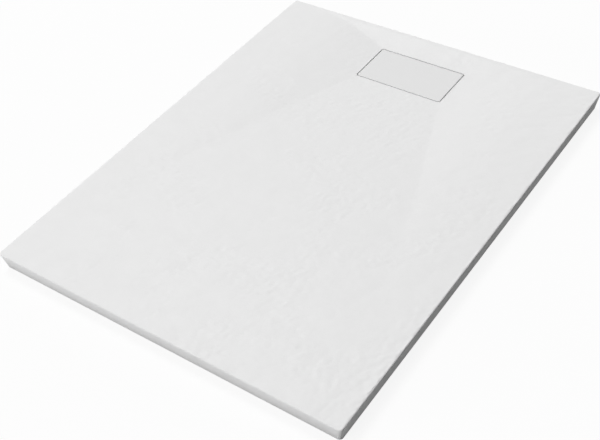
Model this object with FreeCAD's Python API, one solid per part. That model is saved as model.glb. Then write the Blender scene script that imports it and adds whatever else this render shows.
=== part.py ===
"""Low shower tray with a loose outlet cover, and the outlet fitting under it.

The tray is one casting of mineral-filled resin: four falls run from a level rim to a square-cut
recess near one short edge and meet in valleys, the outer wall leans in to the floor, and a grid of
drafted pockets saves weight underneath.  The cover lies in the recess on four rubber pads.  Under it
a steel flange and a clamping body grip the tray's outlet hole between two gaskets, and a strainer
lifts out of the flange.

Millimetres, +Z up.  X runs across the tray, Y along it with the outlet at the +Y end.  The origin is
the middle of the underside.
"""
import FreeCAD, Part
import math
import os

V = FreeCAD.Vector

# ---- the tray's outside
tray_width = 700.0
tray_length = 900.0
tray_height = 34.0
corner_radius = 6.5          # of the plan outline at the rim
wall_lean = 6.4              # how far the outer wall draws in from rim to floor
rim_round = 4.0              # rounding of the rim's outer edge
foot_break = 1.2             # chamfer of the wall's lower edge

# ---- the falls of the top face
fall_depth = 10.0            # from the rim down to the edge of the recess
side_band = 20.0             # level band inside each long edge
near_band = 20.0             # level band inside the short edge away from the outlet
far_band = 8.0               # level band behind the recess
side_shoulder = 130.0        # from the long edge to the middle of the soft shoulder
side_ease = 110.0            # width over which the side fall eases off
side_least_fall = 0.006      # slope that is left outside the shoulder
near_shoulder = 416.0        # the same three for the long fall from the near short edge
near_ease = 290.0
near_least_fall = 0.0025

# ---- the underside
pocket_depth = 12.0
pocket_draft = 2.0           # how far each pocket wall leans in over that depth
largest_pitch = 87.0         # the pockets are spaced evenly, no further apart than this
web_foot = 12.0              # thickness at the floor of the webs between pockets
floor_border = 20.0          # from the outer wall's foot to the first pockets
pan_border = 10.0            # solid border left round the recess
least_pocket = 18.0          # a pocket that the recess leaves narrower than this is left out

# ---- the cover and its recess
cover_length = 184.5         # along X
cover_width = 99.0           # along Y
cover_corner = 3.0
cover_thickness = 2.0
cover_hem = 6.0              # height of the turned-down edge
cover_edge_break = 0.6
cover_gap = 2.3              # drainage gap all round the cover
recess_draft = 0.35          # how far each recess wall leans in down to the recess floor
far_shelf = 57.7             # from the tray's far edge to the recess
pad_height = 8.0
pad_top = 16.0               # side of a pad where it is bonded to the cover
pad_foot = 12.0              # side of a pad where it stands on the recess floor
pad_margin = 6.0             # from the inside of the hem to a pad

# ---- the outlet: flange, gaskets, clamping body
outlet_hole_radius = 37.0    # hole in the tray
flange_radius = 46.0
flange_sheet = 1.2
flange_seat_gap = 0.5        # around the flange in its seat
gasket_thickness = 1.2
gasket_margin = 0.5          # from a gasket's edges to those of the faces that grip it
seat_skin = 3.6              # tray thickness between the two gaskets
throat_radius = 28.4         # inside of the flange's throat
throat_depth = 5.0
ledge_radius = 25.0          # opening in the ledge that carries the strainer
clamp_sheet = 2.8            # thickness of the clamping body's plate
boss_outer_radius = 36.6
boss_inner_radius = 30.0
boss_top_gap = 0.2           # between the clamping body's boss and the flange
outlet_radius = 22.4         # threaded outlet, at the thread's crest
outlet_wall = 5.6
outlet_collar = 3.2          # the collar below the clamping plate
outlet_pocket_gap = 6.0      # from the clamping body to the wall of the pocket that it sits in
outlet_pocket_draft = 1.0

# ---- screws
screw_count = 4
screw_circle = 33.3          # radius of the circle they stand on
screw_shank = 2.0            # radius
screw_head = 3.6             # radius
screw_head_cone = 1.4        # depth of the countersunk head
screw_length = 8.0
screw_clearance = 0.05

# ---- strainer
strainer_gap = 0.3           # round the strainer in the flange
strainer_wall = 1.2
strainer_dish = 2.6          # depth of the dish below the ledge
strainer_slots = 12
slot_width = 2.8
slot_inner = 9.0             # radius where a slot begins
slot_outer = 21.5            # radius where it ends
knob_stem = 3.0              # radius
knob_radius = 7.0
knob_height = 6.8            # top of the knob above the strainer's rim
knob_thickness = 2.4

# ---- levels and places that follow from the sizes above
half_width = tray_width / 2
half_length = tray_length / 2
cover_top = tray_height - fall_depth
cover_underside = cover_top - cover_thickness
recess_floor = cover_underside - pad_height
recess_half_x = cover_length / 2 + cover_gap
recess_half_y = cover_width / 2 + cover_gap
outlet_y = half_length - far_shelf - recess_half_y
seat_level = recess_floor - flange_sheet - gasket_thickness
seat_underside = seat_level - seat_skin
flange_underside = recess_floor - flange_sheet
clamp_top = seat_underside - gasket_thickness
clamp_underside = clamp_top - clamp_sheet
outlet_bottom = clamp_underside - outlet_collar
ledge_top = recess_floor - throat_depth + flange_sheet
seat_radius = flange_radius + flange_seat_gap
above = tray_height + 20.0   # well clear of the rim, for tools that cut from above
lean_angle = math.atan(wall_lean / tray_height)
rim_outset = rim_round * (math.tan(lean_angle) + 1 / math.cos(lean_angle) - 1)   # what rounding takes off
outlet_axis = V(0, outlet_y, 0)


def frustum(low_half, high_half, low, high, centre_x, centre_y):
    """A four-sided block between two levels, with the half sizes (x, y) that it has at each."""
    block = Part.makeWedge(-low_half[0], low, -low_half[1], -high_half[1], -high_half[0],
                           low_half[0], high, low_half[1], high_half[1], high_half[0])
    block.rotate(V(0, 0, 0), V(1, 0, 0), 90)
    block.translate(V(centre_x, centre_y, 0))
    return block


def edges_between(shape, low, high):
    """The edges that lie wholly between two levels."""
    return [edge for edge in shape.Edges if edge.BoundBox.ZMin > low and edge.BoundBox.ZMax < high]


def round_corners(block, radius):
    """A four-sided block with its four standing edges rounded."""
    box = block.BoundBox
    standing = [edge for edge in block.Edges if edge.BoundBox.ZLength > 0.9 * box.ZLength]
    return block.makeFillet(radius, standing)


def revolved(profile):
    """A solid of revolution about the outlet's axis, from (radius, z) points."""
    points = [V(radius, outlet_y, z) for radius, z in profile]
    face = Part.Face(Part.makePolygon(points + points[:1]))
    return face.revolve(outlet_axis, V(0, 0, 1), 360)


def ring(inner_radius, outer_radius, low, high):
    return revolved([(inner_radius, low), (outer_radius, low), (outer_radius, high), (inner_radius, high)])


def disc(radius, low, high):
    return Part.makeCylinder(radius, high - low, V(0, outlet_y, low))


def around_outlet(shape, count, start_angle=0.0):
    """Copies of a shape, evenly turned about the outlet's axis."""
    copies = []
    for index in range(count):
        copy = shape.copy()
        copy.rotate(outlet_axis, V(0, 0, 1), start_angle + index * 360.0 / count)
        copies.append(copy)
    return copies


# ---- the falls

def fall_line(start, outwards, run, shoulder_at, ease, least_fall, place):
    """One side of a fall's profile: straight from the recess, an arc over the shoulder, then nearly level.

    start is the recess edge's coordinate, outwards is +1 or -1, and place(coordinate, z) gives a point.
    """
    steep = (fall_depth - least_fall * (run - shoulder_at)) / shoulder_at

    def level_at(distance):
        before, after = shoulder_at - ease / 2, shoulder_at + ease / 2
        if distance <= before:
            return cover_top + steep * distance
        if distance >= after:
            return tray_height - least_fall * (run - distance)
        passed = distance - before
        return cover_top + steep * distance - (steep - least_fall) * passed ** 2 / (2 * ease)

    def point(distance):
        return place(start + outwards * distance, level_at(distance))

    first, last = shoulder_at - ease / 2, shoulder_at + ease / 2
    return [
        Part.LineSegment(point(0), point(first)).toShape(),
        Part.Arc(point(first), point(shoulder_at), point(last)).toShape(),
        Part.LineSegment(point(last), point(run)).toShape(),
    ]


def space_above_falls():
    """Everything above the top face: two profiles swept across each other, which leaves the valleys."""

    def across(x, z):
        return V(x, -tray_length, z)

    side_run = half_width - side_band - recess_half_x
    side_shoulder_at = half_width - side_shoulder - recess_half_x
    side_fall = (side_run, side_shoulder_at, side_ease, side_least_fall)
    crest = half_width - side_band
    profile = fall_line(recess_half_x, 1, *side_fall, across)
    profile += [
        Part.LineSegment(across(crest, tray_height), across(crest, above)).toShape(),
        Part.LineSegment(across(crest, above), across(-crest, above)).toShape(),
        Part.LineSegment(across(-crest, above), across(-crest, tray_height)).toShape(),
    ]
    profile += reversed(fall_line(-recess_half_x, -1, *side_fall, across))
    profile.append(Part.LineSegment(across(-recess_half_x, cover_top), across(recess_half_x, cover_top)).toShape())
    over_sides = Part.Face(Part.Wire(Part.__sortEdges__(profile))).extrude(V(0, 2 * tray_length, 0))

    def along(y, z):
        return V(-tray_width, y, z)

    near_edge = outlet_y - recess_half_y
    far_edge = outlet_y + recess_half_y
    near_crest = near_band - half_length
    far_crest = half_length - far_band
    near_run = near_edge - near_crest
    near_shoulder_at = near_edge + half_length - near_shoulder
    near_fall = (near_run, near_shoulder_at, near_ease, near_least_fall)
    profile = fall_line(near_edge, -1, *near_fall, along)
    profile += [
        Part.LineSegment(along(near_crest, tray_height), along(near_crest, above)).toShape(),
        Part.LineSegment(along(near_crest, above), along(far_crest, above)).toShape(),
        Part.LineSegment(along(far_crest, above), along(far_crest, tray_height)).toShape(),
        Part.LineSegment(along(far_crest, tray_height), along(far_edge, cover_top)).toShape(),
        Part.LineSegment(along(far_edge, cover_top), along(near_edge, cover_top)).toShape(),
    ]
    over_length = Part.Face(Part.Wire(Part.__sortEdges__(profile))).extrude(V(2 * tray_width, 0, 0))
    return over_sides.common(over_length)


# ---- the tray

def outer_body():
    """The tray's outside before anything is taken from it, full size at its rounded rim."""
    rim_x, rim_y = half_width + rim_outset, half_length + rim_outset
    body = frustum((rim_x - wall_lean, rim_y - wall_lean), (rim_x, rim_y), 0, tray_height, 0, 0)
    body = round_corners(body, corner_radius)
    body = body.makeFillet(rim_round, edges_between(body, tray_height - 0.1, above))
    return body.makeChamfer(foot_break, edges_between(body, -1, 0.1))


def pocket_spans(half_extent):
    """(middle, half size) at the floor of each pocket in one direction, evenly spaced."""
    span = 2 * half_extent + web_foot
    count = math.ceil(span / largest_pitch)
    pitch = span / count
    return [((index - (count - 1) / 2) * pitch, (pitch - web_foot) / 2) for index in range(count)]


def clear_of_pan(middle, half, other_middle, other_half):
    """The pocket's (middle, half size) along Y, cut back from the recess where it lies under it."""
    pan_x = recess_half_x + pan_border
    pan_y = recess_half_y + pan_border
    if abs(middle) - half >= pan_x:
        return other_middle, other_half
    low, high = other_middle - other_half, other_middle + other_half
    pan_low, pan_high = outlet_y - pan_y, outlet_y + pan_y
    if low < pan_low < high:
        high = pan_low
    elif low < pan_high < high:
        low = pan_high
    elif low >= pan_low and high <= pan_high:
        return None
    return ((low + high) / 2, (high - low) / 2) if high - low >= least_pocket else None


def make_pockets():
    """The grid of drafted pockets in the underside."""
    pockets = []
    for x, half_x in pocket_spans(half_width - wall_lean - floor_border):
        for y, half_y in pocket_spans(half_length - wall_lean - floor_border):
            place = clear_of_pan(x, half_x, y, half_y)
            if place:
                low_half = (half_x, place[1])
                high_half = (half_x - pocket_draft, place[1] - pocket_draft)
                pockets.append(frustum(low_half, high_half, 0, pocket_depth, x, place[0]))
    return pockets


def make_tray():
    recess = frustum((recess_half_x - recess_draft, recess_half_y - recess_draft),
                     (recess_half_x, recess_half_y), recess_floor, cover_top + 1, 0, outlet_y)
    recess = round_corners(recess, cover_corner + cover_gap)
    pocket_radius = flange_radius + outlet_pocket_gap
    outlet_space = [
        recess,
        disc(seat_radius, seat_level, recess_floor + 1),
        disc(outlet_hole_radius, -1, above),
        revolved([(0, 0), (pocket_radius, 0), (pocket_radius - outlet_pocket_draft, seat_underside),
                  (0, seat_underside)]),
    ]
    return outer_body().cut(space_above_falls()).cut(outlet_space).cut(make_pockets())


# ---- the cover

def make_cover():
    low = cover_top - cover_hem
    half_x, half_y = cover_length / 2, cover_width / 2
    outside = frustum((half_x, half_y), (half_x, half_y), low, cover_top, 0, outlet_y)
    outside = round_corners(outside, cover_corner)
    outside = outside.makeChamfer(cover_edge_break, edges_between(outside, cover_top - 0.1, above))
    inner = (half_x - cover_thickness, half_y - cover_thickness)
    return outside.cut(frustum(inner, inner, low, cover_underside, 0, outlet_y))


def make_pad(side_x, side_y):
    """A tapered rubber block, bonded inside one corner of the cover."""
    x = side_x * (cover_length / 2 - cover_thickness - pad_margin - pad_top / 2)
    y = side_y * (cover_width / 2 - cover_thickness - pad_margin - pad_top / 2)
    foot, top = pad_foot / 2, pad_top / 2
    return frustum((foot, foot), (top, top), recess_floor, cover_underside, x, outlet_y + y)


# ---- the outlet fitting

def screw_tool(clearance):
    """One countersunk screw, or the space it needs."""
    shank, head = screw_shank + clearance, screw_head + clearance
    top = recess_floor
    profile = [(0, top - screw_length - clearance), (shank, top - screw_length - clearance),
               (shank, top - screw_head_cone), (head, top), (0, top)]
    points = [V(screw_circle + radius, outlet_y, z) for radius, z in profile]
    face = Part.Face(Part.makePolygon(points + points[:1]))
    return face.revolve(V(screw_circle, outlet_y, 0), V(0, 0, 1), 360)


def make_screws():
    return Part.makeCompound(around_outlet(screw_tool(0.0), screw_count, 45.0))


def make_flange():
    """Pressed ring: rim on the gasket, throat down through the hole, ledge for the strainer."""
    throat_outer = throat_radius + flange_sheet
    flange = revolved([
        (flange_radius, flange_underside), (flange_radius, recess_floor), (throat_radius, recess_floor),
        (throat_radius, ledge_top), (ledge_radius, ledge_top), (ledge_radius, ledge_top - flange_sheet),
        (throat_outer, ledge_top - flange_sheet), (throat_outer, flange_underside)])
    return flange.cut(around_outlet(screw_tool(screw_clearance), screw_count, 45.0))


def make_clamp_body():
    """Plate below the tray, a boss up through its hole for the screws, and the threaded outlet."""
    outlet_outer = outlet_radius + outlet_wall
    body = revolved([
        (outlet_radius, outlet_bottom), (outlet_outer, outlet_bottom), (outlet_outer, clamp_underside),
        (flange_radius, clamp_underside), (flange_radius, clamp_top), (boss_outer_radius, clamp_top),
        (boss_outer_radius, flange_underside - boss_top_gap), (boss_inner_radius, flange_underside - boss_top_gap),
        (boss_inner_radius, clamp_top), (outlet_radius, clamp_top)])
    return body.cut(around_outlet(screw_tool(screw_clearance), screw_count, 45.0))


def make_strainer():
    """Dished strainer with radial slots and a knob to lift it by."""
    rim = throat_radius - strainer_gap
    dish = ledge_radius - strainer_gap
    rim_top = ledge_top + strainer_wall
    dish_foot = ledge_top - strainer_dish
    dish_floor = dish_foot + strainer_wall
    knob_top = rim_top + knob_height
    strainer = revolved([
        (0, dish_foot), (dish, dish_foot), (dish, ledge_top), (rim, ledge_top), (rim, rim_top),
        (dish - strainer_wall, rim_top), (dish - strainer_wall, dish_floor), (knob_stem, dish_floor),
        (knob_stem, knob_top - knob_thickness), (knob_radius, knob_top - knob_thickness),
        (knob_radius, knob_top), (0, knob_top)])
    slot = Part.makeBox(slot_outer - slot_inner, slot_width, 3 * strainer_wall,
                        V(slot_inner, outlet_y - slot_width / 2, dish_foot - strainer_wall))
    return strainer.cut(around_outlet(slot, strainer_slots))


def make_parts():
    gasket_inner = outlet_hole_radius + gasket_margin
    gasket_outer = flange_radius - gasket_margin
    parts = {
        "tray_shell": make_tray(),
        "cover_plate": make_cover(),
        "waste_flange": make_flange(),
        "flange_gasket": ring(gasket_inner, gasket_outer, seat_level, flange_underside),
        "clamp_gasket": ring(gasket_inner, gasket_outer, clamp_top, seat_underside),
        "clamp_body": make_clamp_body(),
        "flange_screws": make_screws(),
        "hair_strainer": make_strainer(),
    }
    for end, side_y in (("near", -1), ("far", 1)):
        for side, side_x in (("left", -1), ("right", 1)):
            parts["cover_pad_%s_%s" % (end, side)] = make_pad(side_x, side_y)
    return parts


os.makedirs("parts", exist_ok=True)
for node, shape in make_parts().items():
    shape.exportStep("parts/%s.step" % node)
    box = shape.BoundBox
    print("%-22s %d solid(s), valid %s, %.1f cm3, x %.1f..%.1f  y %.1f..%.1f  z %.1f..%.1f" % (
        node, len(shape.Solids), shape.isValid(), shape.Volume / 1000,
        box.XMin, box.XMax, box.YMin, box.YMax, box.ZMin, box.ZMax))
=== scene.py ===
# %% [markdown]
# # A low shower tray with slate relief, its loose cover and its outlet fitting
# The part is one big white casting with a small drain at one end.  Almost everything that the eye
# sees is a flat white sheet, so the work goes into three things: the falls that meet in valleys, the
# faint split-slate relief of the mould, and light that is low enough to show both.
# The frame brings the pieces at their true size.  What follows dresses them.

# %% Load the frame
import bmesh
import bpy
import math
from mathutils import Matrix, Vector, noise


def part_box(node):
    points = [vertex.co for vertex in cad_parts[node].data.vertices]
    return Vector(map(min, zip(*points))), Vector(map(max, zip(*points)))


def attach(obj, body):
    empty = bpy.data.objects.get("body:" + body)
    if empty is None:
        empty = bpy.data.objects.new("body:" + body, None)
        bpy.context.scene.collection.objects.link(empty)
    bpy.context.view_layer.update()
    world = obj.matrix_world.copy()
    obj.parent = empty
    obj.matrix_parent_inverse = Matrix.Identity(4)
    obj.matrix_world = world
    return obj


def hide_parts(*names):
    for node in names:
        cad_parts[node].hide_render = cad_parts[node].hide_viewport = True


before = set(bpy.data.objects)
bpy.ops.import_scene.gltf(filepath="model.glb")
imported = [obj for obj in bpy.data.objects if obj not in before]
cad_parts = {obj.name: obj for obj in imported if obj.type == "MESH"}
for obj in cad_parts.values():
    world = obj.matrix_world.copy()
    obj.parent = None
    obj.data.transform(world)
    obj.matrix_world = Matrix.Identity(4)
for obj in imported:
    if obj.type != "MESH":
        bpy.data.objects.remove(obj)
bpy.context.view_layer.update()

# %% [markdown]
# ## Camera
# The view is from above the near right corner, turned a little about its own axis, which is why the
# long edges run steeply up the picture.  The place, the point looked at and the turn were worked out
# from the edges of the rim and the foot, so that a 700 x 900 mm tray lands on them.

# %% Camera
MM = 0.001
camera_place = Vector((883.6, -1161.1, 1287.7)) * MM
camera_target = Vector((34.5, -139.0, 34.0)) * MM
camera_roll = math.radians(-6.70)
camera_data = bpy.data.cameras.new("studio_camera")
camera_data.lens = 64.22
camera_data.shift_x = 0.0250
camera_data.shift_y = 0.0035
camera = bpy.data.objects.new("studio_camera", camera_data)
bpy.context.scene.collection.objects.link(camera)
bpy.context.scene.camera = camera
look = (camera_target - camera_place).to_track_quat("-Z", "Y").to_matrix()
turned = (look @ Matrix.Rotation(camera_roll, 3, "Z")).to_4x4()
camera.matrix_world = Matrix.Translation(camera_place) @ turned
print("camera looks along", -(camera.matrix_world.to_3x3() @ Vector((0, 0, 1))))

# %% [markdown]
# ## One helper for nodes, one for colours
# A material is a small graph.  `add_node` adds one node with its settings and its links, which keeps
# each finish short enough to read.  Colours are written as they look on a screen (sRGB) and turned to
# the linear values that a shader works in.

# %% Helpers for materials


def linear(hex_colour):
    """An sRGB hex colour as linear red, green, blue and alpha."""
    channels = [int(hex_colour[i:i + 2], 16) / 255 for i in (1, 3, 5)]
    return [c / 12.92 if c <= 0.04045 else ((c + 0.055) / 1.055) ** 2.4 for c in channels] + [1.0]


def add_node(tree, kind, links=(), **settings):
    """Adds a node. Settings name its properties or its inputs; links are (input, node, output)."""
    node = tree.nodes.new(kind)
    for name, value in settings.items():
        socket = name.replace("_", " ")
        if hasattr(node, name):
            setattr(node, name, value)
        else:
            node.inputs[socket].default_value = value
    for name, source, output in links:
        tree.links.new(source.outputs[output], node.inputs[name])
    return node


def new_material(name):
    """An empty node material, its tree and its Principled shader."""
    material = bpy.data.materials.new(name)
    material.use_nodes = True
    shader = material.node_tree.nodes["Principled BSDF"]
    return material, material.node_tree, shader


print("the middle grey #808080 is %.3f in linear light" % linear("#808080")[0])

# %% [markdown]
# ## Four lamps
# The tray was lit softly: the left end of the sheet is a little brighter than the right, the left fall
# is a shade darker than the flat band beside it and the right fall a shade lighter, and the right wall
# is in shade.  That is one broad key, high on the left.  A second one, high before the near end, looks
# into the gap round the cover.  The near wall is bright and yet the far fall isn't, so much of that
# wall's light comes from below: a white card on the floor before it, and a lamp barely above the card.
# A low lamp at the far end balances them.

# %% Lamps
scene = bpy.context.scene
scene.view_settings.view_transform = "Standard"


def soft_lamp(name, place, size, power):
    """A square area lamp at a place (mm) that faces the middle of the tray."""
    data = bpy.data.lights.new(name, "AREA")
    data.shape = "SQUARE"
    data.size = size * MM
    data.energy = power
    lamp = bpy.data.objects.new(name, data)
    lamp.location = Vector(place) * MM
    lamp.rotation_euler = (-Vector(place)).to_track_quat("-Z", "Y").to_euler()
    scene.collection.objects.link(lamp)


soft_lamp("key_left", (-7500, 4500, 14500), 6000, 1550)
soft_lamp("near_high", (-1200, -15000, 17800), 9000, 1600)
soft_lamp("near_low", (-4600, -6500, 850), 1600, 152)
soft_lamp("far_low", (-600, 8000, 1800), 3200, 140)

# %% [markdown]
# ## A white world that gives little light
# The background is white, but white light from all round would wash the shape out.  The Light Path
# node tells the rays apart: what the camera and gloss see is white, and what bounces sees a dim grey.

# %% World
ambient_level = 0.145


def seen_directly(tree):
    """1 for rays from the camera or through gloss and glass, 0 for bounced light."""
    path = add_node(tree, "ShaderNodeLightPath")
    gloss = add_node(tree, "ShaderNodeMath", [(0, path, "Is Glossy Ray"), (1, path, "Is Transmission Ray")],
                     operation="MAXIMUM")
    return add_node(tree, "ShaderNodeMath", [(0, path, "Is Camera Ray"), (1, gloss, "Value")],
                    operation="MAXIMUM")


world = bpy.data.worlds.new("studio")
world.use_nodes = True
scene.world = world
world_tree = world.node_tree
world_tree.nodes.clear()
strength = add_node(world_tree, "ShaderNodeMapRange", [("Value", seen_directly(world_tree), "Value")],
                    To_Min=ambient_level, To_Max=1.0)
sky = add_node(world_tree, "ShaderNodeBackground", [("Strength", strength, "Result")],
               Color=linear("#ffffff"))
add_node(world_tree, "ShaderNodeOutputWorld", [("Surface", sky, "Background")])
print("the world is 1 to the eye and", ambient_level, "to bounced light")

# %% [markdown]
# ## The floor and the card
# The floor is treated the same way.  The eye sees white, most of it glow, so that only the tray's soft
# shadow shows on it.  Bounced light sees a dark grey, which keeps the right wall in shade, apart from
# the white card before the near end.

# %% Floor
grey_floor, white_card = 0.094, 0.85     # how much light the floor and the card send back
card_edge, card_blend = -0.50, 0.05      # the card lies nearer than this along Y (m), and its soft edge
glow_share = 0.88                        # the part of the floor's white that no shadow darkens
floor_half = 12.0                        # m
floor_drop = 0.0002                      # m below the foot, so that the two don't lie in one plane

floor_paint = bpy.data.materials.new("floor_paint")
floor_paint.use_nodes = True
floor_tree = floor_paint.node_tree
floor_tree.nodes.clear()
ground = add_node(floor_tree, "ShaderNodeTexCoord")
ground_y = add_node(floor_tree, "ShaderNodeSeparateXYZ", [("Vector", ground, "Object")])
card = add_node(floor_tree, "ShaderNodeMapRange", [("Value", ground_y, "Y")],
                From_Min=card_edge + card_blend, From_Max=card_edge, To_Min=grey_floor, To_Max=white_card)
bounced = add_node(floor_tree, "ShaderNodeBsdfDiffuse", [("Color", card, "Result")])
lit_floor = add_node(floor_tree, "ShaderNodeBsdfDiffuse", Color=linear("#fafafa"))
white_glow = add_node(floor_tree, "ShaderNodeEmission", Color=linear("#ffffff"), Strength=1.0)
floor_look = add_node(floor_tree, "ShaderNodeMixShader",
                      [(1, lit_floor, "BSDF"), (2, white_glow, "Emission")], Fac=glow_share)
floor_mix = add_node(floor_tree, "ShaderNodeMixShader", [
    ("Fac", seen_directly(floor_tree), "Value"), (1, bounced, "BSDF"), (2, floor_look, "Shader")])
add_node(floor_tree, "ShaderNodeOutputMaterial", [("Surface", floor_mix, "Shader")])

floor_mesh = bmesh.new()
bmesh.ops.create_grid(floor_mesh, x_segments=1, y_segments=1, size=floor_half)
floor_data = bpy.data.meshes.new("studio_floor")
floor_mesh.to_mesh(floor_data)
floor_mesh.free()
floor = bpy.data.objects.new("studio_floor", floor_data)
floor.location.z = -floor_drop
floor.data.materials.append(floor_paint)
scene.collection.objects.link(floor)
print("floor", floor.dimensions, "card nearer than", card_edge)

# %% [markdown]
# ## Resin, paint and rubber
# The pieces that aren't metal are one colour all through or all over.  What tells them apart is the
# width and depth of the grain that their mould or paint leaves, and how dull it is, so those are the
# values of one small recipe: a bump of noise whose spots are as wide as on the real part.

# %% Finishes of resin, paint and rubber


def even_finish(name, colour, roughness, grain_mm, grain_depth_mm):
    """A non-metal finish: one colour, one dullness, and a fine grain."""
    material, tree, shader = new_material(name)
    shader.inputs["Base Color"].default_value = linear(colour)
    shader.inputs["Roughness"].default_value = roughness
    place = add_node(tree, "ShaderNodeTexCoord")
    spots = add_node(tree, "ShaderNodeTexNoise", [("Vector", place, "Object")],
                     Scale=1 / (grain_mm * MM), Detail=3.0, Roughness=0.6)
    bump = add_node(tree, "ShaderNodeBump", [("Height", spots, "Fac")],
                    Strength=1.0, Distance=grain_depth_mm * MM)
    tree.links.new(bump.outputs["Normal"], shader.inputs["Normal"])
    return material


# fine-texture powder coat on folded steel: a touch greyer and smoother than the tray
powder_coat = even_finish("white_powder_coat", "#e6e6e6", 0.50, 0.9, 0.012)
# moulded EPDM of the four pads, dull from the mould's spark-eroded skin
pad_rubber = even_finish("moulded_epdm_rubber", "#38393a", 0.72, 0.6, 0.02)
# flat gaskets punched from sheet rubber
sheet_rubber = even_finish("punched_sheet_rubber", "#2b2b2c", 0.80, 0.8, 0.02)
# injection-moulded polypropylene of the clamping body, natural white
polypropylene = even_finish("moulded_white_polypropylene", "#d9d9d4", 0.42, 1.6, 0.01)
# the strainer is the same plastic with a grey pigment, from a mould with a smoother skin
grey_polypropylene = even_finish("moulded_grey_polypropylene", "#b9bbbc", 0.36, 2.0, 0.006)
print("even finishes ready")

# %% [markdown]
# ## The tray's gel coat
# Gel coat is sprayed into the mould first, so the face copies the mould: matt, white all through, with
# a dull sheen at a glancing angle.  The slate relief is geometry.  The shader adds what is too fine for
# the mesh: ledges of a few millimetres, drawn out along the slate's bed and cut into terraces by a
# ramp, the grain of the mould's skin over them, and a trace of unevenness in gloss, because a
# perfectly even white looks like paper.

# %% The tray's gel coat
bed_angle = math.radians(38)
terrace_starts = (0.36, 0.46, 0.56, 0.66)    # where the noise climbs to the next terrace
terrace_climb = 0.035


def slate_gel_coat(colour, ledge_mm, ledge_depth_mm, grain_mm, grain_depth_mm):
    """White gel coat with fine terraces along the slate's bed and a grain over them."""
    material, tree, shader = new_material("slate_moulded_gel_coat")
    shader.inputs["Base Color"].default_value = linear(colour)
    place = add_node(tree, "ShaderNodeTexCoord")
    bed = add_node(tree, "ShaderNodeMapping", [("Vector", place, "Object")], vector_type="TEXTURE")
    bed.inputs["Rotation"].default_value = (0.0, 0.0, bed_angle)
    bed.inputs["Scale"].default_value = [size * MM for size in ledge_mm]
    ledges = add_node(tree, "ShaderNodeTexNoise", [("Vector", bed, "Vector")],
                      Scale=1.0, Detail=3.0, Roughness=0.55)
    terraces = add_node(tree, "ShaderNodeValToRGB", [("Fac", ledges, "Fac")])
    ramp = terraces.color_ramp
    for index, start in enumerate(terrace_starts):
        for stop, terrace in ((start, index), (start + terrace_climb, index + 1)):
            height = terrace / len(terrace_starts)
            ramp.elements.new(stop).color = (height, height, height, 1.0)
    ramp.elements[-1].color = (1.0, 1.0, 1.0, 1.0)
    ledge_bump = add_node(tree, "ShaderNodeBump", [("Height", terraces, "Color")],
                          Strength=1.0, Distance=ledge_depth_mm * MM)
    spots = add_node(tree, "ShaderNodeTexNoise", [("Vector", place, "Object")],
                     Scale=1 / (grain_mm * MM), Detail=3.0, Roughness=0.6)
    bump = add_node(tree, "ShaderNodeBump", [("Height", spots, "Fac"), ("Normal", ledge_bump, "Normal")],
                    Strength=1.0, Distance=grain_depth_mm * MM)
    tree.links.new(bump.outputs["Normal"], shader.inputs["Normal"])
    patches = add_node(tree, "ShaderNodeTexNoise", [("Vector", bed, "Vector")], Scale=0.3, Detail=4.0)
    gloss = add_node(tree, "ShaderNodeMapRange", [("Value", patches, "Fac")], To_Min=0.48, To_Max=0.64)
    tree.links.new(gloss.outputs["Result"], shader.inputs["Roughness"])
    return material


ledge_size = (13, 9, 13)     # mm along the bed, across it, and in height
gel_coat = slate_gel_coat("#ececec", ledge_size, ledge_depth_mm=0.17, grain_mm=1.1, grain_depth_mm=0.015)
print(gel_coat.name, "ready")

# %% [markdown]
# ## Sizes
# Everything is built in millimetres, like the real part's drawing, and scaled to metres when a piece
# is finished.  Where the frame knows a size it is read from there; the falls repeat the driving sizes
# of the part.

# %% Sizes
tray_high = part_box("tray_shell")[1] / MM
cover_low, cover_high = (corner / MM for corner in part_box("cover_plate"))
flange_low, flange_high = (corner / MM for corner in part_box("waste_flange"))
clamp_low, clamp_high = (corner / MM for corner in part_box("clamp_body"))
strainer_low, strainer_high = (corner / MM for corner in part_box("hair_strainer"))
half_width, half_length, rim_level = tray_high
cover_top = cover_high.z
fall_depth = rim_level - cover_top
outlet_y = (cover_low.y + cover_high.y) / 2
outlet_centre = (0.0, outlet_y)
cover_half_x = cover_high.x
cover_half_y = (cover_high.y - cover_low.y) / 2
cover_corner = 3.0
cover_gap = 2.3
recess_x = cover_half_x + cover_gap
recess_y = cover_half_y + cover_gap
recess_floor = flange_high.z
side_band, near_band, far_band = 20.0, 20.0, 8.0     # level bands between the rim and the falls
print("tray", 2 * half_width, 2 * half_length, rim_level)
print("outlet at", outlet_y, "recess", recess_x, recess_y)

# %% [markdown]
# ## Stainless steel
# The flange is pressed from sheet and polished on a lathe, so its scratches run in rings round the
# outlet: noise along the distance from the axis, and nothing along the ring.  The screws were turned
# in a lathe too, and are so small that the same rings, only wider, pass for their fine marks.

# %% Finish of stainless steel


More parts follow.
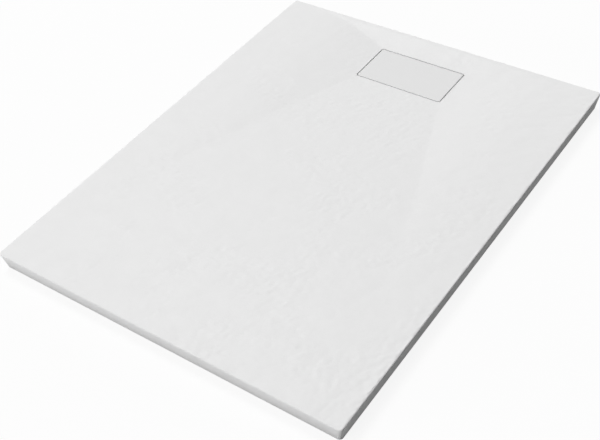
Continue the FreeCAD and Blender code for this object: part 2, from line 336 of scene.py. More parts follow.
def ring_brushed_steel(name, centre_y_mm, ring_mm):
    """Polished steel with fine rings round the outlet's axis."""
    material, tree, shader = new_material(name)
    shader.inputs["Base Color"].default_value = linear("#cfd0d0")
    shader.inputs["Metallic"].default_value = 1.0
    place = add_node(tree, "ShaderNodeTexCoord")
    from_axis = add_node(tree, "ShaderNodeVectorMath", [(0, place, "Object")], operation="SUBTRACT")
    from_axis.inputs[1].default_value = (0.0, centre_y_mm * MM, 0.0)
    flat = add_node(tree, "ShaderNodeVectorMath", [(0, from_axis, "Vector")], operation="MULTIPLY")
    flat.inputs[1].default_value = (1.0, 1.0, 0.0)
    radius = add_node(tree, "ShaderNodeVectorMath", [(0, flat, "Vector")], operation="LENGTH")
    rings = add_node(tree, "ShaderNodeTexNoise", [("W", radius, "Value")], noise_dimensions="1D",
                     Scale=1 / (ring_mm * MM), Detail=3.0)
    gloss = add_node(tree, "ShaderNodeMapRange", [("Value", rings, "Fac")], To_Min=0.22, To_Max=0.38)
    bump = add_node(tree, "ShaderNodeBump", [("Height", rings, "Fac")], Strength=0.5, Distance=0.004 * MM)
    tree.links.new(gloss.outputs["Result"], shader.inputs["Roughness"])
    tree.links.new(bump.outputs["Normal"], shader.inputs["Normal"])
    return material


steel_rings = ring_brushed_steel("ring_polished_stainless", outlet_y, ring_mm=0.35)
steel_plain = ring_brushed_steel("machined_stainless", outlet_y, ring_mm=0.9)
print("steels", steel_rings.name, steel_plain.name)

# %% [markdown]
# ## The falls
# Water has to find the drain from everywhere, so four sloping faces run down to it.  Each is a plain
# slope from the recess, a soft shoulder, and a nearly level rest.  The highest of the four wins at any
# place: that one rule gives the valleys where two slopes meet.

# %% The falls
near_edge, far_edge = outlet_y - recess_y, outlet_y + recess_y
side_shoulder, near_shoulder = 130.0, 416.0      # from the tray's edge to the middle of the shoulder
side_ease, near_ease = 110.0, 290.0              # length of the shoulder
side_rest, near_rest = 0.006, 0.0025             # slope of the nearly level rest
side_fall = (half_width - side_band - recess_x, half_width - side_shoulder - recess_x, side_ease, side_rest)
near_fall = (near_edge + half_length - near_band, near_edge + half_length - near_shoulder,
             near_ease, near_rest)
far_slope = fall_depth / (half_length - far_band - far_edge)


def fall(distance, run, shoulder_at, ease, least):
    """Height gained at a distance from the recess: a slope, an arc over the shoulder, then nearly level."""
    distance = min(max(distance, 0.0), run)
    steep = (fall_depth - least * (run - shoulder_at)) / shoulder_at
    eased = min(max(distance - shoulder_at + ease / 2, 0.0), ease)
    beyond = max(distance - shoulder_at - ease / 2, 0.0)
    return steep * (distance - beyond) - (steep - least) * eased ** 2 / (2 * ease) + least * beyond


def face_level(x, y):
    """Height of the tray's face before the relief is taken off."""
    side = fall(abs(x) - recess_x, *side_fall)
    near = fall(near_edge - y, *near_fall)
    far = max(y - far_edge, 0.0) * far_slope
    return cover_top + min(max(side, near, far), fall_depth)


for name, x, y in (("rim", 340, 0), ("middle", 0, 0), ("valley", 150, 250), ("recess", 0, 280)):
    print("face at the %s: %.2f mm" % (name, face_level(x, y)))

# %% [markdown]
# ## The relief
# The mould was taken from split slate.  Slate breaks along its bed, so its face is low flat ledges with
# crooked edges, all drawn out in one direction, on a face that swells slowly.  Three layers of noise
# give that: the slow swell, ledges (a noise cut into steps) and small chips, which come in patches.
# All of it goes down from the face and never above it, so the part keeps its size.

# %% The relief
deepest = 1.10                           # mm, below the face
middle_depth = 0.46                      # mm, where every layer is at its middle
swell_width, swell_depth = 90, 0.12      # each layer has its size and what it takes off (mm)
ledge_length, ledge_width, ledge_depth = 34, 23, 0.16
chip_length, chip_width, chip_depth = 11, 8, 0.28
ledge_steps, ledge_slope = 2.4, 0.35     # steps in one unit of noise, and the slope's share of a step
chip_steps, chip_slope = 1.8, 0.6
patch_width = 95                         # size of the patches that have chips
patch_share, patch_contrast = 0.45, 2.2
wander_width, wander_reach = 27, 5.0     # how far the ledges' edges stray from a smooth course


def along_bed(x, y, length, width):
    """Coordinates drawn out along the slate's bed."""
    along = x * math.cos(bed_angle) + y * math.sin(bed_angle)
    across = y * math.cos(bed_angle) - x * math.sin(bed_angle)
    return Vector((along / length, across / width, 0.0))


def stepped(value, slope):
    """Rounds a value to whole steps, with a short slope between two steps."""
    whole = math.floor(value)
    part = min(max((value - whole - 0.5) / slope + 0.5, 0.0), 1.0)
    return whole + part * part * (3 - 2 * part)


def relief(x, y):
    """How far (mm) the slate relief lies below the face."""
    wander = wander_reach * noise.noise(Vector((x / wander_width, y / wander_width, 3.7)))
    swell = noise.fractal(Vector((x / swell_width, y / swell_width, 8.1)), 1.0, 2.0, 2)
    ledges = noise.fractal(along_bed(x + wander, y - wander, ledge_length, ledge_width), 0.9, 2.2, 3)
    chips = noise.fractal(along_bed(x - wander, y + wander, chip_length, chip_width), 0.7, 2.1, 2)
    patches = noise.noise(Vector((x / patch_width, y / patch_width, 4.7)))
    chipped = min(max(patch_share + patch_contrast * patches, 0.0), 1.0)
    depth = (middle_depth + swell_depth * swell + ledge_depth * stepped(ledge_steps * ledges, ledge_slope)
             + chip_depth * chipped * stepped(chip_steps * chips, chip_slope))
    return min(max(depth, 0.0), deepest)


samples = [relief(17.0 * i, 23.0 * i) for i in range(-18, 19)]
print("relief from %.2f to %.2f mm" % (min(samples), max(samples)))

# %% [markdown]
# ## Loops and rings
# The casting, the cover and the outlet pieces are all built by the same few moves.  A loop of edges is
# extruded, and its new points go to the next ring.  The first kind of ring is a rounded rectangle,
# given by its half size along X and Y, its corner radius and its level.

# %% Loops and rings
corner_slack = 0.001         # mm


def new_edges(made):
    """The edges among what an operator made."""
    return [item for item in made if isinstance(item, bmesh.types.BMEdge)]


def extrude_loop(bm, edges, move):
    """Extrudes a loop of edges and moves the new points with move(co)."""
    made = bmesh.ops.extrude_edge_only(bm, edges=edges)["geom"]
    for item in made:
        if isinstance(item, bmesh.types.BMVert):
            item.co = move(item.co)
    return new_edges(made)


def to_ring(here, there, centre):
    """A move from one rounded rectangle to another. Corner points keep their angle in the corner."""
    def move(co):
        x, y = abs(co.x - centre[0]), abs(co.y - centre[1])
        turn_x, turn_y = here[0] - here[2], here[1] - here[2]
        if x > turn_x - corner_slack and y > turn_y - corner_slack:
            angle = math.atan2(y - turn_y, x - turn_x)
            x = there[0] - there[2] + there[2] * math.cos(angle)
            y = there[1] - there[2] + there[2] * math.sin(angle)
        elif x > turn_x:
            x = there[0]
        else:
            y = there[1]
        return Vector((centre[0] + math.copysign(x, co.x - centre[0]),
                       centre[1] + math.copysign(y, co.y - centre[1]), there[3]))
    return move


def through_rings(bm, edges, rings, centre):
    """Extrudes a loop through a list of rings round a centre, the first of which it lies on."""
    for here, there in zip(rings, rings[1:]):
        edges = extrude_loop(bm, edges, to_ring(here, there, centre))
    return edges


print("rounded rings ready")

# %% [markdown]
# ## Circles
# The second kind of ring is a circle, given by its radius and its level.  A turned piece such as the
# flange is then a list of circles, much like a drawing of its section, and a loop that goes from one
# to the next.  The circles lie round the outlet unless another centre is given.

# %% Circles


def through_circles(bm, edges, circles, centre=None):
    """Extrudes a loop through (radius, level) circles round a centre, by default the outlet."""
    centre = centre or Vector((0, outlet_y, 0))

    def to_circle(radius, level):
        def move(co):
            arm = Vector((co.x - centre.x, co.y - centre.y, 0)).normalized() * radius
            return Vector((centre.x + arm.x, centre.y + arm.y, level))
        return move

    for radius, level in circles:
        edges = extrude_loop(bm, edges, to_circle(radius, level))
    return edges


def circle_loop(bm, radius, level, segments=96, centre=None):
    """Edges of a circle round a centre, by default the outlet."""
    centre = centre or Vector((0, outlet_y, 0))
    verts = bmesh.ops.create_circle(bm, segments=segments, radius=radius, cap_ends=False)["verts"]
    bmesh.ops.translate(bm, vec=(centre.x, centre.y, level), verts=verts)
    return list(dict.fromkeys(edge for vert in verts for edge in vert.link_edges))


print("circles ready round the outlet at y", outlet_y)

# %% [markdown]
# ## Flat faces and what is filled between loops
# A flat with holes is made from its loops alone: the fill operator finds which of them are holes.  A
# rounded rectangle starts as a grid of one cell whose corners are bevelled.

# %% Flat faces


def rounded_face(bm, half_x, half_y, radius, level, centre_x=0.0, centre_y=0.0, segments=8):
    """A rectangular face with rounded corners."""
    verts = bmesh.ops.create_grid(bm, x_segments=1, y_segments=1, size=1.0)["verts"]
    bmesh.ops.scale(bm, vec=(half_x, half_y, 1), verts=verts)
    bmesh.ops.translate(bm, vec=(centre_x, centre_y, level), verts=verts)
    rounded = bmesh.ops.bevel(bm, geom=verts, affect="VERTICES", offset=radius, segments=segments,
                              profile=0.5, material=-1)
    return next(face for vert in rounded["verts"] for face in vert.link_faces)


def loop_only(bm, face):
    """Takes a face away and keeps its edges."""
    edges = list(face.edges)
    bmesh.ops.delete(bm, geom=[face], context="FACES_ONLY")
    return edges


def cut_up(bm, edges, length):
    """Cuts the long edges of a loop into pieces of about one length."""
    loop = list(edges)
    for edge in [edge for edge in edges if edge.calc_length() > 2 * length]:
        cuts = round(edge.calc_length() / length) - 1
        loop += new_edges(bmesh.ops.subdivide_edges(bm, edges=[edge], cuts=cuts)["geom_split"])
    return list(dict.fromkeys(edge for edge in loop if edge.is_valid))


def fill_between(bm, loops, up):
    """Fills the flat area between an outer loop and the loops inside it."""
    edges = [edge for loop in loops for edge in loop]
    bmesh.ops.triangle_fill(bm, edges=edges, use_beauty=True, use_dissolve=False, normal=Vector((0, 0, up)))


print("faces and fillings ready")

# %% [markdown]
# ## Finishing a piece
# Every new piece goes through one function: it is scaled from millimetres to metres, gets its finish,
# is shaded smooth except at sharp edges, and rides on its body.

# %% Finishing a piece


def finished(bm, name, body, material, replaced, sharp=35):
    """Makes a piece from a mesh in millimetres and puts it on its body."""
    bmesh.ops.recalc_face_normals(bm, faces=bm.faces)
    bmesh.ops.scale(bm, vec=(MM, MM, MM), verts=bm.verts)
    open_edges = sum(not edge.is_manifold for edge in bm.edges)
    data = bpy.data.meshes.new(name)
    bm.to_mesh(data)
    bm.free()
    data.shade_smooth()
    data.set_sharp_from_angle(angle=math.radians(sharp))
    data.materials.append(material)
    piece = bpy.data.objects.new(name, data)
    scene.collection.objects.link(piece)
    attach(piece, body)
    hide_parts(*replaced)
    print("%s: %d faces, %d open edges, %s mm" % (name, len(data.polygons), open_edges,
                                                  [round(size / MM, 1) for size in piece.dimensions]))


print("ready to finish pieces")

# %% [markdown]
# ## The face as a grid
# A plane cut into 3 mm cells carries the falls and the relief: one operator makes it, and then each
# point only moves in height.  The lines are placed so that one pair runs round the recess, whose cells
# are taken out.  The outline stops short of the rim, because the rim is rolled over next.

# %% The face
cell = 2.9
roll_width = 2.8             # the rolled edge, seen from above
roll_drop = 2.8
inner_corner = 3.8           # plan radius where the roll begins
outer_corner = 6.5           # plan radius of the outline
recess_band = 5.0            # ring of face round the recess that is filled in by itself
near_enough = 0.01           # mm


def spaced_lines(marks):
    """Grid lines through every mark, evenly spaced between two marks and about a cell apart."""
    lines = []
    for low, high in zip(marks, marks[1:]):
        count = max(round((high - low) / cell), 1)
        lines += [low + (high - low) * step / count for step in range(count)]
    return lines + [marks[-1]]


face_x, face_y = half_width - roll_width, half_length - roll_width
hole_x = recess_x + recess_band
hole_low, hole_high = near_edge - recess_band, far_edge + recess_band
lines_x = spaced_lines([-face_x, -hole_x, hole_x, face_x])
lines_y = spaced_lines([-face_y, hole_low, hole_high, face_y])

casting = bmesh.new()
bmesh.ops.create_grid(casting, x_segments=len(lines_x) - 1, y_segments=len(lines_y) - 1, size=1.0)
for vert in casting.verts:
    column = round((vert.co.x + 1) / 2 * (len(lines_x) - 1))
    row = round((vert.co.y + 1) / 2 * (len(lines_y) - 1))
    vert.co = Vector((lines_x[column], lines_y[row], rim_level))


def over_recess(face):
    """Whether a cell lies over the recess or the band round it."""
    middle = face.calc_center_median()
    return abs(middle.x) < hole_x and hole_low < middle.y < hole_high


def beside_hole(vert):
    """Whether a point lies on the edge of what was taken out, or inside it."""
    return (abs(vert.co.x) < hole_x + near_enough
            and hole_low - near_enough < vert.co.y < hole_high + near_enough)


bmesh.ops.delete(casting, geom=[face for face in casting.faces if over_recess(face)], context="FACES")
corners = [vert for vert in casting.verts
           if abs(vert.co.x) > face_x - near_enough and abs(vert.co.y) > face_y - near_enough]
bmesh.ops.bevel(casting, geom=corners, affect="VERTICES", offset=inner_corner, segments=6,
                profile=0.5, material=-1)
open_edges = [edge for edge in casting.edges if edge.is_boundary]
hole_edges = [edge for edge in open_edges if all(beside_hole(vert) for vert in edge.verts)]
outline = [edge for edge in open_edges if edge not in set(hole_edges)]
print("face", len(casting.faces), "cells; outline", len(outline), "edges, hole", len(hole_edges))

# %% [markdown]
# ## The recess's lip, and the heights of the face
# A rectangle with rounded corners is the recess's edge, and the strip between it and the grid is filled
# in.  Now the whole face is one flat sheet, and every point of it can go to its height.

# %% Lip and heights
arris = 0.45                 # rounding of the recess's upper edge
lip_share = 0.3              # the relief dies out at the recess, which is cut to size in the mould
recess_corner = cover_corner + cover_gap
lip_ring = (recess_x + arris, recess_y + arris, recess_corner + arris, cover_top)
lip_face = rounded_face(casting, *lip_ring[:3], rim_level, centre_y=outlet_y)
lip = cut_up(casting, loop_only(casting, lip_face), cell)
fill_between(casting, [lip, hole_edges], 1)
lip_verts = {vert for edge in lip for vert in edge.verts}
for vert in casting.verts:
    x, y = vert.co.x, vert.co.y
    vert.co.z = face_level(x, y) - relief(x, y) * (lip_share if vert in lip_verts else 1.0)
levels = [vert.co.z for vert in casting.verts]
print("face from %.2f to %.2f mm" % (min(levels), max(levels)))

# %% [markdown]
# ## Rolled rim, leaning wall and foot
# The outline is extruded ring by ring: over the roll (a quarter of an ellipse), down the wall, which
# leans in so that the casting leaves its mould, and round the foot.  The relief runs on over the roll
# and dies out down the wall.

# %% Rim and wall
wall_lean = 5.5              # how far the wall draws in from the roll down to the foot
foot_break = 1.0
roll_steps = 7
wall_steps = 5
wall_share = 0.5             # how much of the relief the wall shows


def rim_ring(inset, radius, level):
    """A ring that lies inside the tray's outline by its inset."""
    return (half_width - inset, half_length - inset, radius, level)


rim_rings = [rim_ring(roll_width, inner_corner, rim_level)]
for step in range(1, roll_steps + 1):
    angle = math.radians(90 * step / roll_steps)
    share = math.sin(angle)
    corner = inner_corner + (outer_corner - inner_corner) * share
    level = rim_level - roll_drop * (1 - math.cos(angle))
    rim_rings.append(rim_ring(roll_width * (1 - share), corner, level))
for step in range(1, wall_steps + 1):
    share = step / wall_steps
    level = (rim_level - roll_drop) * (1 - share) + foot_break * share
    rim_rings.append(rim_ring(wall_lean * share, outer_corner, level))
rim_rings.append(rim_ring(wall_lean + foot_break, outer_corner, 0.0))
before = set(casting.verts)
foot_edges = through_rings(casting, outline, rim_rings, (0, 0))


def outward(co):
    """The direction out of the tray, square to the nearest part of its outline."""
    past_x = max(abs(co.x) - half_width + outer_corner, 0.0)
    past_y = max(abs(co.y) - half_length + outer_corner, 0.0)
    return Vector((math.copysign(past_x, co.x), math.copysign(past_y, co.y), 0)).normalized()


roll_foot = rim_level - roll_drop
for vert in set(casting.verts) - before:
    depth = relief(vert.co.x + vert.co.z, vert.co.y + vert.co.z)
    over_roll = min(max((vert.co.z - roll_foot) / roll_drop, 0.0), 1.0)
    down_wall = min(max((vert.co.z - foot_break) / (roll_foot - foot_break), 0.0), 1.0)
    into_wall = outward(vert.co) * wall_share * depth * down_wall * (1 - over_roll)
    vert.co -= into_wall + Vector((0, 0, depth * over_roll))
print("rim and wall:", len(rim_rings) - 1, "rings of", len(foot_edges), "edges")

# %% [markdown]
# ## The recess, the flange's seat and the hole
# From the lip the loop goes over a small arris and down the drafted wall to the recess floor.  The
# floor is filled to the flange's seat, and circles then go down through the seat, the hole and the
# pocket under it that the clamping body sits in.

# %% Recess, seat and hole
recess_draft = 0.35
floor_fillet = 0.8
seat_play = 0.5              # round the flange's edge
seat_drop = 2.4              # the flange's sheet and its gasket
seat_thickness = 3.6         # of the casting between flange and clamping body
clamp_play = 6.0             # room for fingers round the clamping body
hole_radius = 37.0
pocket_draft = 1.0
seat_radius = flange_high.x + seat_play
seat_level = recess_floor - seat_drop
seat_underside = seat_level - seat_thickness
pocket_radius = clamp_high.x + clamp_play


def recess_ring(outset, level):
    """A ring that lies outside the recess's wall by its outset."""
    return (recess_x + outset, recess_y + outset, recess_corner + outset, level)


recess_rings = [lip_ring,
                recess_ring(0.3 * arris, cover_top - 0.3 * arris),
                recess_ring(0.0, cover_top - arris),
                recess_ring(-recess_draft, recess_floor + floor_fillet),
                recess_ring(-recess_draft - floor_fillet, recess_floor)]
floor_loop = through_rings(casting, lip, recess_rings, outlet_centre)
seat_loop = circle_loop(casting, seat_radius, recess_floor)
fill_between(casting, [floor_loop, seat_loop], 1)
outlet_loop = through_circles(casting, seat_loop, [
    (seat_radius, seat_level), (hole_radius, seat_level), (hole_radius, seat_underside),
    (pocket_radius - pocket_draft, seat_underside), (pocket_radius, 0.0)])
print("seat at %.1f mm, its underside at %.1f mm" % (seat_level, seat_underside))

# %% [markdown]
# ## Where the underside is hollow
# Pockets save resin and weight.  They stand in rows, as many as the largest spacing asks for, with a
# web between two of them.  Where one would run under the recess it is cut back, and where too little
# of it would be left it is left out.

# %% Rows of pockets
web_foot = 12.0              # thickness of the webs between pockets
floor_border = 26.4          # from the rim's outline to the first pockets
pan_border = 10.0            # solid border left round the recess
largest_pitch = 87.0
least_pocket = 18.0


def pocket_spans(half_extent):
    """(middle, half size) of each pocket in one direction."""
    span = 2 * half_extent + web_foot
    count = math.ceil(span / largest_pitch)
    pitch = span / count
    return [((index - (count - 1) / 2) * pitch, (pitch - web_foot) / 2) for index in range(count)]


def clear_of_pan(x, half_x, y, half_y):
    """The pocket's (middle, half size) along Y, cut back from the recess where it lies under it."""
    low, high = y - half_y, y + half_y
    pan_low, pan_high = near_edge - pan_border, far_edge + pan_border
    if abs(x) - half_x < recess_x + pan_border:
        if low < pan_low < high:
            high = pan_low
        elif low < pan_high < high:
            low = pan_high
        elif low >= pan_low and high <= pan_high:
            return None
    return ((low + high) / 2, (high - low) / 2) if high - low >= least_pocket else None


columns = pocket_spans(half_width - floor_border)
rows = pocket_spans(half_length - floor_border)
print(len(columns), "columns and", len(rows), "rows of pockets")

# %% [markdown]
# ## The pockets
# Each is an open box: a rounded face, extruded up and drawn in so that it leaves the mould, with a
# round under its roof.  The flat between them is then filled round their mouths, the outlet's pocket
# and the foot of the wall, and the casting is closed.

# %% Pockets
pocket_depth = 12.0
pocket_lean = 2.0
mouth_corner = 5.0
roof_round = 3.0


def add_pocket(bm, x, half_x, y, half_y):
    """One drafted pocket with rounded corners and a rounded roof edge, open at its mouth."""
    mouth = loop_only(bm, rounded_face(bm, half_x, half_y, mouth_corner, 0.0, x, y, segments=4))
    rings = [(half_x - inset, half_y - inset, radius, level) for inset, radius, level in (
        (0.0, mouth_corner, 0.0),
        (0.8 * pocket_lean, 0.8 * mouth_corner, pocket_depth - roof_round),
        (pocket_lean + 0.1 * roof_round, 0.6 * mouth_corner, pocket_depth - 0.45 * roof_round),
        (pocket_lean + 0.45 * roof_round, 0.5 * mouth_corner, pocket_depth - 0.1 * roof_round),
        (pocket_lean + roof_round, 0.4 * mouth_corner, pocket_depth),
        (pocket_lean + 1.2 * roof_round, 0.3 * mouth_corner, pocket_depth))]
    bmesh.ops.contextual_create(bm, geom=through_rings(bm, mouth, rings, (x, y)))


underside = bmesh.new()
pocket_count = 0
for x, half_x in columns:
    for y, half_y in rows:
        place = clear_of_pan(x, half_x, y, half_y)
        if place:
            add_pocket(underside, x, half_x, *place)
            pocket_count += 1
pockets = bpy.data.meshes.new("pockets")
underside.to_mesh(pockets)
underside.free()
before = set(casting.verts)
casting.from_mesh(pockets)
bpy.data.meshes.remove(pockets)
mouth_edges = [edge for edge in casting.edges if edge.is_boundary and not before & set(edge.verts)]
fill_between(casting, [foot_edges, outlet_loop, mouth_edges], -1)
print(pocket_count, "pockets")
finished(casting, "tray_casting", "tray", gel_coat, ["tray_shell"], sharp=30)

# %% [markdown]
# ## The cover
# A steel sheet with its four edges folded down and the corners closed, then powder-coated.  The loop
# starts at the flat top and goes over the fold, down the hem, round its lower edge, and up inside to
# the underside.  The coat is thick on an edge, so every edge is a little round.

# %% The cover
sheet = 2.0
hem_low = cover_low.z
fold = 0.8                   # radius over the fold, with its coat
lower_round = 0.35
inner_hem_corner = 1.0


def cover_ring(inset, radius, level):
    """A ring that lies inside the cover's outline by its inset."""
    return (cover_half_x - inset, cover_half_y - inset, radius, level)


cover = bmesh.new()
top_ring = cover_ring(1.6 * fold, cover_corner - 1.6 * fold, cover_top)
top_face = rounded_face(cover, *top_ring[:3], cover_top, centre_y=outlet_y)
cover_rings = [top_ring, cover_ring(fold, cover_corner - fold, cover_top),
               cover_ring(0.5 * fold, cover_corner - 0.5 * fold, cover_top - 0.12 * fold),
               cover_ring(0.13 * fold, cover_corner - 0.13 * fold, cover_top - 0.5 * fold),
               cover_ring(0.0, cover_corner, cover_top - fold),
               cover_ring(0.0, cover_corner, hem_low + lower_round),
               cover_ring(lower_round, cover_corner - lower_round, hem_low),
               cover_ring(sheet - lower_round, inner_hem_corner + lower_round, hem_low),
               cover_ring(sheet, inner_hem_corner, hem_low + lower_round),
               cover_ring(sheet, inner_hem_corner, cover_top - sheet)]
ceiling = through_rings(cover, list(top_face.edges), cover_rings, outlet_centre)
bmesh.ops.contextual_create(cover, geom=ceiling)
finished(cover, "folded_cover", "cover", powder_coat, ["cover_plate"])

# %% [markdown]
# ## Four rubber pads
# The cover stands on them and doesn't rattle.  Each is a block that narrows to its foot, with its edges
# rounded as a small moulding's are.

# %% The pads
pad_top, pad_foot, pad_round = 16.0, 12.0, 1.2
pad_height = cover_top - sheet - recess_floor
for end in ("near", "far"):
    for side in ("left", "right"):
        node = "cover_pad_%s_%s" % (end, side)
        low, high = (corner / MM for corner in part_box(node))
        pad = bmesh.new()
        bmesh.ops.create_cube(pad, size=1.0)
        for vert in pad.verts:
            breadth = pad_top if vert.co.z > 0 else pad_foot
            corner = Vector((vert.co.x * breadth, vert.co.y * breadth, vert.co.z * pad_height))
            vert.co = (low + high) / 2 + corner
        bmesh.ops.bevel(pad, geom=pad.edges, affect="EDGES", offset=pad_round, segments=4,
                        profile=0.5, material=-1)
        finished(pad, "rubber_pad_%s_%s" % (end, side), "cover", pad_rubber, [node])

# %% [markdown]
# ## The flange
# The flange is pressed from sheet: a flat rim, a bend down into the throat, and a ledge turned in for
# the strainer.  Its four holes are countersunk.  The loops of the flat rim are filled top and bottom,
# and the bends between them are circles.

# %% The flange
screw_circle, screw_head, screw_shank, screw_play = 33.3, 3.6, 2.0, 0.05
head_cone = 1.4
flange_sheet = 1.2
throat, ledge = 28.4, 25.0
flange_edge = flange_high.x
flange_under = recess_floor - flange_sheet
ledge_top = flange_low.z + flange_sheet
screw_angles = [math.radians(45 + 90 * turn) for turn in range(4)]
screw_places = [Vector((screw_circle * math.cos(angle), outlet_y + screw_circle * math.sin(angle), 0))
                for angle in screw_angles]

flange = bmesh.new()
upper_outer = circle_loop(flange, flange_edge - 0.4, recess_floor)
upper_inner = circle_loop(flange, throat + 1.0, recess_floor)
upper_holes = [circle_loop(flange, screw_head + screw_play, recess_floor, 32, place)
               for place in screw_places]
fill_between(flange, [upper_outer, upper_inner] + upper_holes, 1)
lower_outer = through_circles(flange, upper_outer, [
    (flange_edge - 0.1, recess_floor - 0.12), (flange_edge, recess_floor - 0.4),
    (flange_edge, flange_under)])
lower_inner = through_circles(flange, upper_inner, [
    (throat + 0.5, recess_floor - 0.13), (throat + 0.13, recess_floor - 0.5), (throat, recess_floor - 1.0),
    (throat, ledge_top + 0.5), (throat - 0.15, ledge_top + 0.15), (throat - 0.5, ledge_top),
    (ledge + 0.2, ledge_top), (ledge, ledge_top - 0.2), (ledge, ledge_top - flange_sheet),
    (throat + 0.5, ledge_top - flange_sheet), (throat + 1.0, ledge_top - flange_sheet + 0.2),
    (throat + flange_sheet, ledge_top - flange_sheet + 0.8),
    (throat + flange_sheet, flange_under)])
cone_share = flange_sheet / head_cone
hole_under = screw_head + screw_play - (screw_head - screw_shank) * cone_share
lower_holes = [through_circles(flange, hole, [(hole_under, flange_under)], place)
               for hole, place in zip(upper_holes, screw_places)]
fill_between(flange, [lower_outer, lower_inner] + lower_holes, -1)
finished(flange, "pressed_flange", "tray", steel_rings, ["waste_flange"], sharp=40)

# %% [markdown]
# ## The screws
# Four of the same screws pull the clamping body up.  A screw is a loop that goes from the tip up the
# shank and over the cone of the head.  The socket is then sunk into the head: its points are those of
# the head's circle, moved onto a hexagon.

# %% The screws
screw_length = 8.0
socket_half = 1.25           # half the width across the socket's flats
socket_depth = 1.1
head_sunk = 0.02             # below the flange, so that the two don't lie in one plane
screws = bmesh.new()


def onto_hexagon(centre, level):
    """A move that puts the points of a circle on a hexagon round the same centre."""
    def move(co):
        arm = Vector((co.x - centre.x, co.y - centre.y, 0))
        turn = math.atan2(arm.y, arm.x) % math.radians(60) - math.radians(30)
        arm = arm.normalized() * socket_half / math.cos(turn)
        return Vector((centre.x + arm.x, centre.y + arm.y, level))
    return move


for place in screw_places:
    tip_loop = circle_loop(screws, screw_shank - 0.5, recess_floor - screw_length, 48, place)
    bmesh.ops.contextual_create(screws, geom=tip_loop)
    head_loop = through_circles(screws, tip_loop, [
        (screw_shank, recess_floor - screw_length + 0.5), (screw_shank, recess_floor - head_cone),
        (screw_head - 0.05, recess_floor - 0.12), (screw_head - 0.15, recess_floor - head_sunk)], place)
    mouth = extrude_loop(screws, head_loop, onto_hexagon(place, recess_floor - head_sunk))
    bottom = extrude_loop(screws, mouth, onto_hexagon(place, recess_floor - socket_depth))
    bmesh.ops.contextual_create(screws, geom=bottom)
finished(screws, "socket_screws", "tray", steel_plain, ["flange_screws"])

# %% [markdown]
# ## The clamping body
# A turned form: the plate that presses up against the tray, a boss through the hole for the screws to
# bite in, and the outlet, threaded inside for the pipe.  The thread is a small ridge: one face, spun
# round the axis and lifted by the pitch at every turn.

# %% The clamping body
plate_sheet, boss_outer, boss_inner = 2.8, 36.6, 30.0
outlet_radius, outlet_wall = 22.4, 5.6
thread_height, thread_pitch = 1.2, 1.9
thread_turns, steps_per_turn = 2, 64
ridge_start, ridge_sink = 1.1, 0.2       # above the outlet's end, and into its wall
tip_half, root_half = 0.25, 0.8          # half the ridge's height at its tip and at its root
clamp_edge = clamp_high.x
boss_top = clamp_high.z
outlet_bottom = clamp_low.z
plate_top = seat_underside - flange_sheet
plate_under = plate_top - plate_sheet
thread_root = outlet_radius + thread_height
clamp = bmesh.new()
first = circle_loop(clamp, thread_root, outlet_bottom + 0.4)
last = through_circles(clamp, first, [
    (thread_root + 0.4, outlet_bottom), (outlet_radius + outlet_wall - 0.5, outlet_bottom),
    (outlet_radius + outlet_wall, outlet_bottom + 0.5), (outlet_radius + outlet_wall, plate_under - 0.6),
    (outlet_radius + outlet_wall + 0.6, plate_under), (clamp_edge - 0.5, plate_under),
    (clamp_edge, plate_under + 0.5), (clamp_edge, plate_top - 0.2), (clamp_edge - 0.2, plate_top),
    (boss_outer, plate_top), (boss_outer, boss_top - 0.3), (boss_outer - 0.3, boss_top),
    (boss_inner + 0.3, boss_top), (boss_inner, boss_top - 0.3), (boss_inner, plate_top + 0.5),
    (boss_inner - 0.5, plate_top), (thread_root + 0.4, plate_top), (thread_root, plate_top - 0.4)])
bmesh.ops.bridge_loops(clamp, edges=first + last)

ridge = bmesh.ops.create_grid(clamp, x_segments=1, y_segments=1, size=1.0)["verts"]
for vert in ridge:
    at_tip = vert.co.x < 0
    radius = outlet_radius if at_tip else thread_root + ridge_sink
    height = math.copysign(tip_half if at_tip else root_half, vert.co.y)
    vert.co = Vector((radius, outlet_y, outlet_bottom + ridge_start + height))
bmesh.ops.spin(clamp, geom=[ridge[0].link_faces[0]], cent=(0, outlet_y, 0), axis=(0, 0, 1),
               dvec=(0, 0, thread_pitch / steps_per_turn), angle=math.radians(360 * thread_turns),
               steps=steps_per_turn * thread_turns, use_duplicate=False)
finished(clamp, "threaded_clamp", "tray", polypropylene, ["clamp_body"])

# %% [markdown]
# ## The strainer
# A dish with round-ended slots and a knob to lift it by.  The loops of its flat floor are filled top
# and bottom; the slots, the rim and the knob are extruded from them.

# %% The strainer
strainer_wall, slot_count, slot_half_width = 1.2, 12, 1.4
slot_inner, slot_outer = 9.0, 21.5
slot_half_length = (slot_outer - slot_inner) / 2
slot_round = slot_half_width - 0.02      # a little less than half the width, so that no points meet
stem, knob, knob_thick = 3.0, 7.0, 2.4
dish_play = 0.3              # between the dish and the flange's ledge
strainer_rim = strainer_high.x
dish = ledge - dish_play
dish_foot = strainer_low.z
dish_floor = dish_foot + strainer_wall
rim_top = ledge_top + strainer_wall
knob_top = strainer_high.z

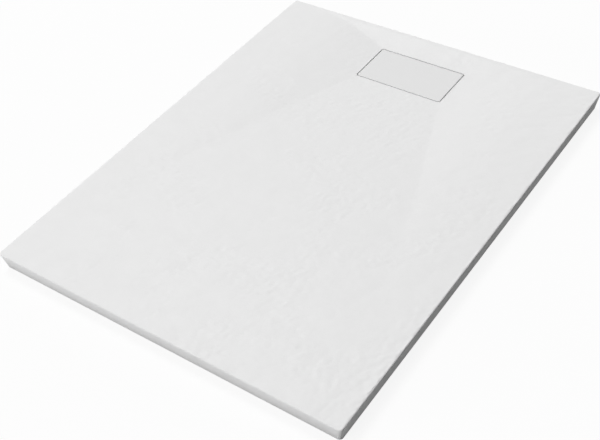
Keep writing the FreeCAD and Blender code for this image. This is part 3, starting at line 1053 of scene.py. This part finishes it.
strainer = bmesh.new()
dish_loop = circle_loop(strainer, dish - strainer_wall - 0.4, dish_floor)
stem_loop = circle_loop(strainer, stem + 0.6, dish_floor, 48)
slots = []
for index in range(slot_count):
    slot_face = rounded_face(strainer, slot_half_length, slot_half_width, slot_round,
                             dish_floor, (slot_outer + slot_inner) / 2, segments=6)
    bmesh.ops.rotate(strainer, cent=(0, 0, 0), verts=slot_face.verts,
                     matrix=Matrix.Rotation(math.radians(360 * index / slot_count), 3, "Z"))
    bmesh.ops.translate(strainer, vec=(0, outlet_y, 0), verts=slot_face.verts)
    slots.append(loop_only(strainer, slot_face))
fill_between(strainer, [dish_loop, stem_loop] + slots, 1)


def down_to_foot(co):
    """The place at the dish's underside below a point of its floor."""
    return Vector((co.x, co.y, dish_foot))


slots_under = [extrude_loop(strainer, slot, down_to_foot) for slot in slots]
foot_loop = through_circles(strainer, dish_loop, [
    (dish - strainer_wall, dish_floor + 0.4), (dish - strainer_wall, rim_top - 0.3),
    (dish - strainer_wall + 0.3, rim_top), (strainer_rim - 0.4, rim_top), (strainer_rim, rim_top - 0.4),
    (strainer_rim, ledge_top), (dish, ledge_top), (dish, dish_foot + 0.5), (dish - 0.5, dish_foot)])
fill_between(strainer, [foot_loop] + slots_under, -1)
knob_loop = through_circles(strainer, stem_loop, [
    (stem, dish_floor + 0.6), (stem, knob_top - knob_thick - 0.3), (stem + 0.3, knob_top - knob_thick),
    (knob - 0.6, knob_top - knob_thick), (knob - 0.1, knob_top - knob_thick + 0.5), (knob, knob_top - 1.2),
    (knob - 0.3, knob_top - 0.5), (knob - 1.0, knob_top), (knob - 2.2, knob_top),
    (knob - 3.2, knob_top - 0.35), (knob - 5.0, knob_top - 0.6)])
bmesh.ops.contextual_create(strainer, geom=knob_loop)
finished(strainer, "slotted_strainer", "strainer", grey_polypropylene,
         ["hair_strainer"])

# %% [markdown]
# ## The two gaskets
# They are flat punched rings, and the solids already are that.  They only get their rubber.

# %% The gaskets
for node in ("flange_gasket", "clamp_gasket"):
    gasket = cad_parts[node]
    gasket.data.materials.clear()
    gasket.data.materials.append(sheet_rubber)
print("gaskets in", sheet_rubber.name)
